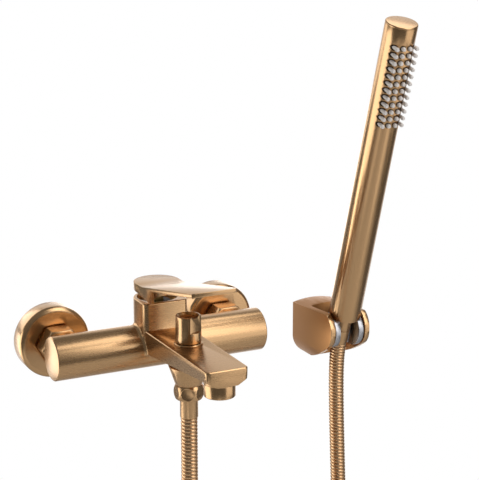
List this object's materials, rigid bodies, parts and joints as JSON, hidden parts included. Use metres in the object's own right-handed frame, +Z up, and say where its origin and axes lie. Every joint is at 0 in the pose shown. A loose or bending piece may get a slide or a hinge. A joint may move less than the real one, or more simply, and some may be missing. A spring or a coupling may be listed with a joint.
{
  "type": "bath mixer",
  "caption": "Wall-mounted single-lever bath mixer in brushed bronze with a flat spout, pull-up diverter, ribbed hose, stick hand shower and tilting wall bracket.",
  "frame": {"origin": "point on the finished wall midway between the two inlets, level with the axis of the mixer's cross tube", "axes": "+X to the right seen from the room, +Y into the wall, +Z up"},
  "size_m": [0.2995, 0.2123, 0.5718],
  "materials": {
    "bronze": "brushed bronze finish on brass",
    "bronze_sheet": "brushed bronze finish on thin pressed steel",
    "hose_wrap": null,
    "raw_brass": "machined",
    "holder_grey": "silver-grey coated plastic with a black inside",
    "silicone": "soft, translucent grey",
    "black_rubber": "matte",
    "white_plastic": "moulded",
    "black_plastic": "moulded",
    "ceramic": "lapped ceramic",
    "steel": "stainless"
  },
  "bodies": {
    "fixture": {"mixer_body": "bronze", "flange_left": "bronze_sheet", "flange_right": "bronze_sheet", "eccentric_union_left": "raw_brass", "eccentric_union_right": "raw_brass", "union_nut_left": "bronze", "union_nut_right": "bronze", "union_washer_left": "black_rubber", "union_washer_right": "black_rubber", "check_valve_left": "white_plastic", "check_valve_right": "white_plastic", "cartridge_seal": "black_rubber", "cartridge_base": "black_plastic", "fixed_disc": "ceramic", "cartridge_housing": "black_plastic", "retaining_nut": "raw_brass", "diverter_guide": "bronze", "aerator_housing": "bronze", "aerator_insert": "white_plastic", "aerator_seal": "black_rubber", "outlet_nipple": "raw_brass", "hose_washer": "black_rubber", "hose_nut": "bronze", "lower_ferrule": "bronze", "hose_drop": "hose_wrap", "hose_coil": "hose_wrap", "hose_riser": "hose_wrap", "bracket_shell": "bronze", "bracket_plate": "steel", "bracket_screws": "steel", "bracket_grub_screw": "steel", "friction_washers": "black_rubber"},
    "rotor": {"cartridge_rotor": "black_plastic", "lever_pin": "steel"},
    "lever": {"cartridge_lever": "steel", "handle": "bronze", "handle_grub_screw": "steel", "index_plug": "black_plastic"},
    "disc_carrier": {"disc_slider": "white_plastic", "moving_disc": "ceramic"},
    "diverter": {"diverter_knob": "bronze", "diverter_stem": "raw_brass", "diverter_plunger": "raw_brass", "plunger_seal": "black_rubber"},
    "cradle": {"swivel_holder": "holder_grey"},
    "handset": {"handset_tube": "bronze", "handset_end_cap": "bronze", "nozzle_strip": "silicone", "handset_waterway": "white_plastic", "handset_inlet": "raw_brass", "handset_washer": "black_rubber", "upper_hose_nut": "bronze", "upper_ferrule": "bronze"}
  },
  "joints": [
    {"name": "handle_turn", "type": "hinge", "parent": "fixture", "child": "rotor", "pos_m": [0, -0.055, 0.035], "axis": [0, 0, 1], "range_deg": [-45, 45]},
    {"name": "handle_lift", "type": "hinge", "parent": "rotor", "child": "lever", "pos_m": [0, -0.055, 0.035], "axis": [-1, 0, 0], "range_deg": [0, 20]},
    {"name": "disc_slide", "type": "slide", "parent": "rotor", "child": "disc_carrier", "axis": [0, -1, 0], "range_m": [0, 0.004]},
    {"name": "diverter_pull", "type": "slide", "parent": "fixture", "child": "diverter", "axis": [0, 0, 1], "range_m": [0, 0.006]},
    {"name": "cradle_tilt", "type": "hinge", "parent": "fixture", "child": "cradle", "pos_m": [0.175, -0.0534, -0.0126], "axis": [1, 0, 0], "range_deg": [-17, 18], "deforming": ["hose_riser"]},
    {"name": "handset_lift", "type": "slide", "parent": "cradle", "child": "handset", "axis": [0, -0.2932, 0.956], "range_m": [0, 0.03], "deforming": ["hose_riser"]}
  ],
  "couplings": [
    {"joint": "disc_slide", "follows": "handle_lift", "m_per_rad": 0.011}
  ]
}
